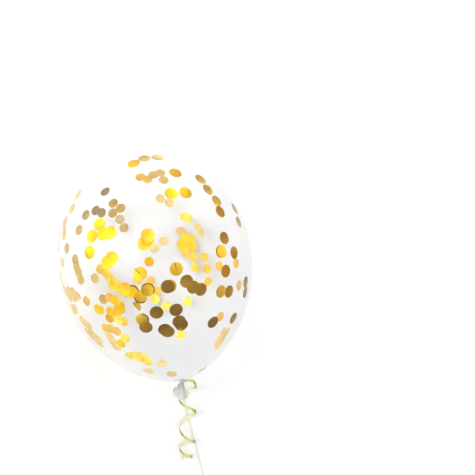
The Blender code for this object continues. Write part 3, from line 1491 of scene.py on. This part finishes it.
@dataclass(frozen=True)
class Drift:
    """A run of discs that cling to the wall.

    Start and end are (mm along, degrees round) on the balloon's wall. Spin turns a disc's crease, shaded
    rim or roll in its own plane, in degrees clockwise as seen from above. The tone given for the crease or
    rim is painted shade there, a painted highlight where it is lighter than the disc's. The sheen is how
    much a disc's tone brightens from one side to the other, a painted reflection. The outward and inward
    tones carry the foil's painted light, shade and reflection.
    """

    start: Pair
    outward: Tone
    inward: Tone = Tone.GOLD
    end: Pair | None = None
    count: int = 1
    curl: Curl | None = None
    spin: float | None = None
    mark: Tone = Tone.SHADOW
    sheen: float = 0.12


def over(along: float, around: float, tone: Tone, curl: Curl = Curl.LAID, spin: float | None = None,
         mark: Tone = Tone.SHADOW) -> Drift:
    """A disc on the upper wall, where the outward face shows."""
    # Upper-wall discs get a stronger painted sheen, a painted reflection, and their creases and cupped rims
    # take the given tone as painted shade.
    return Drift((along, around), tone, Tone.SUN, curl=curl, spin=spin, mark=mark, sheen=0.36)


def under(along: float, around: float, tone: Tone, end: Pair | None = None, count: int = 1) -> Drift:
    """Discs on the lower wall, where the inward face shows through the balloon."""
    return Drift((along, around), tone, tone, end, count)


def each(place: Callable[..., Drift], tone: Tone, *spots: Pair) -> list[Drift]:
    """Single discs of one tone, all placed over or under."""
    return [place(along, around, tone) for along, around in spots]


# The order matters: a disc's number says in which of the layers on the wall it lies

# Upper-wall tones are painted reflection: dark bronze, umber and olive where the outward face would reflect a
# dark room.
UPPER_DRIFTS = [
    over(31, 2, Tone.UMBER),
    over(31, 3, Tone.OCHRE),
    *each(over, Tone.UMBER, (62, -6.5), (64.5, 4), (81, 4.5)),
    over(87, 5.5, Tone.UMBER, Curl.CREASED, 200, Tone.OCHRE),
    over(88, -4.5, Tone.UMBER),
    over(92.5, -3, Tone.BRONZE),
    over(67.5, -15, Tone.ANTIQUE, Curl.CUPPED, 12),
    over(79, -14.5, Tone.BRONZE),
    over(29.5, -8, Tone.OCHRE, Curl.CUPPED, -48),
    over(37, -12.5, Tone.OCHRE, Curl.CUPPED, 147),
    over(7, -10, Tone.GOLD, Curl.CREASED, -33),
    over(11, 8, Tone.OCHRE, Curl.CREASED, -3),
    over(30, 12, Tone.BRONZE, Curl.LIFTED),
    *each(over, Tone.BRONZE, (40, 15), (45.5, 19)),
    over(-15, 40, Tone.BROWN),
    over(2.6, 36, Tone.GOLD),
    over(2.2, 35.1, Tone.BRONZE),
    *each(over, Tone.BROWN, (8.5, 45.5), (30.5, 36.5)),
    over(56.5, 32, Tone.ANTIQUE),
    over(60.5, 38.5, Tone.BROWN),
    *each(over, Tone.MOSS, (56.5, 57), (72, 58)),
    over(97, 26.5, Tone.UMBER),
    over(104, 47, Tone.MOSS),
    *each(over, Tone.ANTIQUE, (178.5, 39), (-104.5, 43)),
    over(-87.5, 43.5, Tone.ANTIQUE, Curl.CREASED),
    over(-69, 45.5, Tone.ANTIQUE),
    over(-52.5, 44, Tone.BROWN),
    *each(over, Tone.OLIVE, (-54.5, 64), (-33, 61)),
    *each(over, Tone.LEMON, (-67, -28), (-53.5, -33), (-53.5, -26), (-53, -21.5), (-33.5, -35.5),
           (-20, -22.5), (-15.5, -25.5)),
    over(22.5, -19.5, Tone.GOLD),
    over(28, -16, Tone.AMBER, Curl.CUPPED, -33),
    over(-39.5, -2.5, Tone.GOLD),
    over(-34.5, -3, Tone.AMBER),
    over(-30, -5, Tone.GOLD),
    over(-89, 16, Tone.LEMON),
    over(-87, 25, Tone.AMBER, Curl.LIFTED),
    over(-118.5, 25.5, Tone.OCHRE),
    over(-144, -3.5, Tone.AMBER, Curl.LIFTED),
    over(-149.5, 7.5, Tone.DUN),
    over(-148, 20.5, Tone.TAN),
    over(48.5, -16, Tone.ANTIQUE, Curl.ROLLED, -25),
]

# Lower-wall tones are painted light: bright gold and lemon where the inward face is lit, paler and greyer
# under the skin's veil.
LOWER_DRIFTS = [
    under(-133, -140.5, Tone.PEWTER),
    *each(under, Tone.DUN, (-112.5, -151), (-102, -158), (-96, -151)),
    under(-83, -157, Tone.ROSE),
    under(-67, -159.5, Tone.DUN),
    *each(under, Tone.PEWTER, (-104, -134.5), (-99, -140.5)),
    under(-98.5, -124.5, Tone.ROSE),
    *each(under, Tone.TAN, (-75.5, -119), (-48, -105)),
    under(-28.5, -114.5, Tone.TAN, (7.5, -117), 4),
    under(12, -130.5, Tone.TAN),
    under(-1, -137, Tone.SUN, (33, -147), 5),
    under(45, -149.5, Tone.GOLD, (56, -155), 3),
    *each(under, Tone.ORANGE, (34, -162), (41.5, -171.5), (62, -174)),
    under(76, -171.5, Tone.CANARY),
    *each(under, Tone.SAND, (-18, -179.5), (-27.5, 173)),
    under(5, -173.5, Tone.AMBER),
    *each(under, Tone.SAND, (-106, 166.5), (-95, 160.5)),
    *each(under, Tone.ORANGE, (-147.5, 180), (-142, 173)),
    *each(under, Tone.TAN, (-147, 164.5), (-147.5, 155.5), (-135.5, 156.5)),
    *each(under, Tone.CANARY, (-60, 150), (-65, 152.5)),
    under(-38, 144.5, Tone.PEACH),
    under(-29.5, 143, Tone.SAND),
    under(-14.5, 161, Tone.BUTTER),
    under(-3.5, 159.5, Tone.SUN),
    *each(under, Tone.BUTTER, (-20, 156.5), (-13, 153.5), (-26.5, 156.5), (-9, 157.5), (-21, 152.5),
           (-7, 152.5)),
    under(-40, 159, Tone.TAN),
    under(2.5, 158, Tone.SUN, (14.5, 153), 3),
    *each(under, Tone.SUN, (17.5, 145), (33.5, 153.5), (40, 144), (64, 144), (38.5, 133)),
    under(37.5, 115, Tone.ORANGE),
    under(75, 110, Tone.TAN),
    *each(under, Tone.CANARY, (92.5, 163), (92, -178.5)),
    under(124.5, 128, Tone.ORANGE),
    under(144.5, 172, Tone.CANARY),
    under(144, 108, Tone.PEACH, (164.5, 110), 4),
    under(147, 113, Tone.PEACH, (160, 115), 3),
    under(17, -92, Tone.PEACH, (30, -97), 3),
    under(20, -98, Tone.PEACH, (31, -102), 3),
    under(24, -104, Tone.PEACH, (33, -108), 2),
    under(33.5, -143.5, Tone.LEMON),
    under(45, -115.5, Tone.ORANGE),
    *each(under, Tone.PEACH, (49.5, -97), (48, -92)),
    under(69, -98, Tone.PEACH, (82, -103), 3),
    under(88.5, -94, Tone.PEACH, (111, -97.5), 4),
    under(92, -99, Tone.PEACH, (105, -101), 3),
    under(51, -131.5, Tone.DUN),
    *each(under, Tone.LEMON, (66.5, -125), (64, -123)),
    under(68, -143, Tone.GOLD, (81, -137), 3),
    under(75, -133, Tone.GOLD),
    *each(under, Tone.AMBER, (72.5, -143), (77, -142.5), (85, -129.5)),
    under(98, -139.5, Tone.SUN),
    under(92.5, -136.5, Tone.CANARY),
    under(51.5, -137, Tone.ORANGE),
    under(57.5, -140.5, Tone.GOLD),
    under(98, -120, Tone.ORANGE, (107.5, -129), 3),
    under(110, -117.5, Tone.PEACH, (129, -115), 5),
    under(123.5, -131.5, Tone.CANARY),
    under(128, -122.5, Tone.LEMON),
    under(147.5, -119, Tone.CANARY, (155, -130), 3),
    *each(under, Tone.CANARY, (158.5, -133), (160, -126), (166, -131)),
    *each(under, Tone.PEACH, (175, -148.5), (175.5, -111)),
    under(189.5, -141, Tone.TAN),
    *each(under, Tone.STRAW, (-128.5, -101), (-109, -102)),
    under(-90, -95.5, Tone.PEACH, (-70, -99.5), 3),
    under(-66, -87, Tone.PALE, (-54, -86), 2),
    *each(under, Tone.PALE, (-41, -79), (-28, -96.5)),
    under(-8, -87, Tone.PALE, (8, -87), 2),
]


@dataclass(frozen=True)
class Confetti:
    """Round foil discs that cling to the inside of the wall, some lifted, creased, cupped or rolled up.

    A disc in a run strays from its even place by up to stray_along mm and stray_round degrees. The
    other lengths are in metres.
    """

    radius: float = 0.0090
    thickness: float = 0.00012
    sides: int = 20
    gap: float = 0.0005
    layer: float = 0.00014
    levels: int = 4
    presses: int = 3
    loose_curls: tuple[Curl, ...] = (Curl.LAID, Curl.LAID, Curl.LAID, Curl.LIFTED)
    stray_along: float = 1.5
    stray_round: float = 0.6
    border: float = 0.0026
    cup_border: float = 0.0015
    bow: float = 0.00012
    lift_from: float = 0.25
    lift_draw: float = 0.0004
    lift_rise: float = 0.0009
    lift_lines: tuple[float, ...] = (-0.0020, 0.0020, 0.0055)
    crease: float = 0.0005
    crease_slope: float = 0.12
    cup_rise: float = 0.0004
    cup_shading_from: float = 0.88
    cup_from: float = 0.001
    roll: float = 0.0052
    roll_squeeze: float = 0.6
    roll_narrow: float = 0.8
    roll_lines: tuple[float, ...] = (-0.0068, -0.0042, -0.0015, 0.0015, 0.0042, 0.0068)

    def build(self, material: bpy.types.Material) -> None:
        """Cuts one disc of each sort, lays out copies of them and joins them into one piece.

        Args:
            material: The foil.
        """
        patterns = {curl: self.cut(curl) for curl in Curl}
        chance = random.Random(SEED)
        laid = []
        for number, (drift, share) in enumerate(self.spots()):
            curl = drift.curl or chance.choice(self.loose_curls)
            spin = chance.uniform(0, 2 * math.pi) if drift.spin is None else math.radians(drift.spin)
            # Which way each disc's painted sheen runs.
            shine = Vector((chance.uniform(-1, 1), chance.uniform(-1, 1)))
            along, around = drift.start
            if drift.count > 1:
                along += (drift.end[0] - along) * share + self.stray_along * chance.uniform(-1, 1)
                around += (drift.end[1] - around) * share + self.stray_round * chance.uniform(-1, 1)
            laid.append(self.lay(patterns[curl], curl, drift, (along, around), spin, shine,
                                 number % self.levels))
        for pattern in patterns.values():
            bpy.data.objects.remove(pattern)
        confetti = join("foil_confetti", laid)
        smooth(confetti, angle=35)
        finish(confetti, material)
        log.info("confetti: %d discs", len(laid))

    def spots(self) -> list[tuple[Drift, float]]:
        """Every disc's drift and its share of the way along it."""
        return [(drift, step / max(1, drift.count - 1))
                for drift in UPPER_DRIFTS + LOWER_DRIFTS for step in range(drift.count)]

    def cut(self, curl: Curl) -> bpy.types.Object:
        """Models one disc flat, then bends it.

        Args:
            curl: How it is bent.

        Returns:
            The disc, whose +Z side will look into the balloon.
        """
        bpy.ops.object.select_all(action="DESELECT")
        bpy.ops.mesh.primitive_cylinder_add(vertices=self.sides, radius=self.radius, depth=self.thickness,
                                            end_fill_type="NGON", location=(0, 0, 0))
        disc = bpy.context.object
        disc.name = f"disc_{curl.value}"
        edit_faces(disc, lambda face: abs(face.normal.z) > 0.5)
        bpy.ops.mesh.inset(thickness=self.cup_border if curl is Curl.CUPPED else self.border,
                           use_individual=True)
        lines = {Curl.CREASED: (-self.crease, self.crease), Curl.LIFTED: self.lift_lines,
                 Curl.ROLLED: self.roll_lines}.get(curl, ())
        cuts = [((line, 0, 0), (1, 0, 0)) for line in lines]
        if curl is Curl.CREASED:
            cuts.append(((0, 0, 0), (0, 1, 0)))
        for place, normal in cuts:
            bpy.ops.mesh.select_all(action="SELECT")
            bpy.ops.mesh.bisect(plane_co=place, plane_no=normal)
        leave_edit()
        shape(disc, lambda point: self.bend(point, curl))
        return disc

    def bend(self, point: Vector, curl: Curl) -> Vector:
        """Bends a flat disc's point.

        Args:
            point: The flat disc's point.
            curl: How the disc is bent.

        Returns:
            The point's place on the bent disc.
        """
        x, y, z = point
        share = x / self.radius
        if curl is Curl.LAID:
            return Vector((x, y, z + self.bow * share ** 2))
        if curl is Curl.LIFTED:
            rise = max(0.0, share + self.lift_from)
            return Vector((x - self.lift_draw * rise ** 2, y, z + self.lift_rise * rise ** 2))
        if curl is Curl.CREASED:
            return Vector((x, y, z + self.crease_slope * max(0.0, x - self.crease)))
        if curl is Curl.CUPPED:
            return Vector((x, y, z + self.cup_rise * (math.hypot(x, y) / self.radius) ** 5))
        angle, reach = x / self.roll, self.roll - z
        return Vector((self.roll_squeeze * reach * math.sin(angle), self.roll_narrow * y,
                       self.roll - reach * math.cos(angle)))

    def lay(self, pattern: bpy.types.Object, curl: Curl, drift: Drift, spot: Pair, spin: float,
            shine: Vector, level: int) -> bpy.types.Object:
        """Copies a pattern with its own mesh and presses the copy onto the inside of the wall.

        Args:
            pattern: The bent disc to copy.
            curl: How that disc is bent.
            drift: The run that the disc belongs to, for its tones.
            spot: Where the disc's middle goes, in mm along and degrees round.
            spin: How far the disc is turned in its own plane, in radians.
            shine: Which way the foil's painted sheen brightens its tone, from -1 to 1 each way.
            level: How many layers of foil lie between the disc and the wall.

        Returns:
            The laid disc, in the part's frame.
        """
        distance, angle = spot[0] / 1000, math.radians(spot[1])
        reach = BALLOON.wall_radius(distance)
        middle = Vector((reach * math.sin(angle), -reach * math.cos(angle), -distance))
        out = BALLOON.off_wall(middle)[1]
        side = Vector((math.cos(angle), math.sin(angle), 0))
        up = side.cross(out)
        disc = pattern.copy()
        disc.data = pattern.data.copy()
        bpy.context.scene.collection.objects.link(disc)
        self.paint(disc, curl, drift, shine)
        turn = Matrix.Rotation(spin, 3, "Z")
        for vertex in disc.data.vertices:
            flat = turn @ vertex.co
            lift = self.gap + self.layer * level + flat.z + self.thickness
            point = middle + side * flat.x + up * flat.y
            for _ in range(self.presses):
                off, way = BALLOON.off_wall(point)
                point -= way * (off + lift)
            place = POSE @ point
            place.z = max(place.z, FLAT_SPOT_SKIN + lift)
            vertex.co = place
        disc.data.update()
        return disc

    def paint(self, disc: bpy.types.Object, curl: Curl, drift: Drift, shine: Vector) -> None:
        """Writes the foil's tone, with its painted light, shade and reflection, on each corner of a disc that
        isn't laid yet.

        Args:
            disc: The disc.
            curl: How it is bent.
            drift: The run that it belongs to, for its tones.
            shine: Which way the painted sheen brightens the tone, from -1 to 1 each way.
        """
        tones = disc.data.color_attributes.new("foil_tone_and_painted_light", "FLOAT_COLOR", "CORNER")
        for polygon in disc.data.polygons:
            tone = self.tone_of(polygon, curl, drift)
            for corner in polygon.loop_indices:
                flat = disc.data.vertices[disc.data.loops[corner].vertex_index].co
                # Painted sheen: the tone brightens towards one side of the disc, a painted reflection.
                glow = 1 + drift.sheen * (flat.x * shine.x + flat.y * shine.y) / self.radius
                tones.data[corner].color = [min(1.0, channel * glow) for channel in tone.value[:3]] + [1.0]

    def tone_of(self, polygon: bpy.types.MeshPolygon, curl: Curl, drift: Drift) -> Tone:
        """The tone of one face of a disc.

        Args:
            polygon: The face.
            curl: How the disc is bent.
            drift: The run that it belongs to.

        Returns:
            The outward or the inward tone, or on half a crease or a cupped rim the tone given for its painted
            shade.
        """
        x, y, _ = polygon.center
        # Half a crease and the rim of a cupped disc take painted shade, a painted highlight where the given
        # tone is lighter than the disc's.
        rim = curl is Curl.CUPPED and math.hypot(x, y) > self.radius * self.cup_shading_from and x > self.cup_from
        fold = curl is Curl.CREASED and abs(x) < self.crease and y < 0
        if drift.curl and (rim or fold):
            return drift.mark
        # Inward faces get the lit tone and outward faces the reflecting tone, both painted light.
        return drift.inward if polygon.normal.z > 0 and curl is not Curl.ROLLED else drift.outward


# The studio

@dataclass(frozen=True)
class Softbox:
    """One large soft light: where it hangs, what it looks at, its width and its power in watts."""

    name: str
    place: Place
    target: Place
    width: float
    power: float
    colour: Place = (1.0, 1.0, 1.0)

    def hang(self) -> None:
        """Makes the light."""
        data = bpy.data.lights.new(self.name, "AREA")
        data.shape = "SQUARE"
        data.size = self.width
        data.energy = self.power
        data.color = self.colour
        lamp = bpy.data.objects.new(self.name, data)
        bpy.context.scene.collection.objects.link(lamp)
        place = Vector(self.place)
        way = Vector(self.target) - place
        lamp.matrix_world = Matrix.Translation(place) @ way.to_track_quat("-Z", "Y").to_matrix().to_4x4()


@dataclass(frozen=True)
class Studio:
    """Pale floor, near-white surroundings and soft light."""

    boxes: tuple[Softbox, ...] = (
        Softbox("key", (-0.75, 0.55, 1.45), (0, 0, 0.1), 0.9, 11.0),
        Softbox("fill", (0.95, 0.25, 1.25), (0, -0.1, 0.1), 1.1, 6.0, (1.0, 0.985, 0.96)),
    )
    floor_width: float = 12.0
    surroundings: float = 0.98

    def build(self) -> None:
        """Builds the floor, the lights and the surroundings."""
        bpy.ops.object.select_all(action="DESELECT")
        bpy.ops.mesh.primitive_plane_add(size=self.floor_width, location=(0, 0, 0))
        floor = bpy.context.object
        floor.name = "studio_floor"
        floor.data.materials.append(StudioPaper().make())
        for box in self.boxes:
            box.hang()
        world = bpy.data.worlds.new("surroundings")
        bpy.context.scene.world = world
        world.use_nodes = True
        back = world.node_tree.nodes["Background"]
        back.inputs["Color"].default_value = (1, 1, 1, 1)
        back.inputs["Strength"].default_value = self.surroundings
        bpy.context.scene.view_settings.view_transform = "Standard"


def main() -> None:
    """Builds the whole scene in order and reports each piece."""
    logging.basicConfig(level=logging.INFO, format="%(name)s: %(message)s")
    ViewingPoint().set_up()
    CurledRibbon().build(SatinRibbon().make())
    string = TetherString()
    string.build(TwistedThread().make())
    # The tie's thread is the string painted darker grey, a painted shadow where the tie sits at the neck.
    tie_thread = TwistedThread("shaded_tie_thread", linear(204, 201, 194), linear(150, 146, 142))
    NeckTie().build(tie_thread.make(), string)
    BalloonSkin().build(StretchedLatex().make())
    KnotAndTail().build(SlackLatex().make())
    Confetti().build(GoldFoil().make())
    Studio().build()


if __name__ == "__main__":
    main()
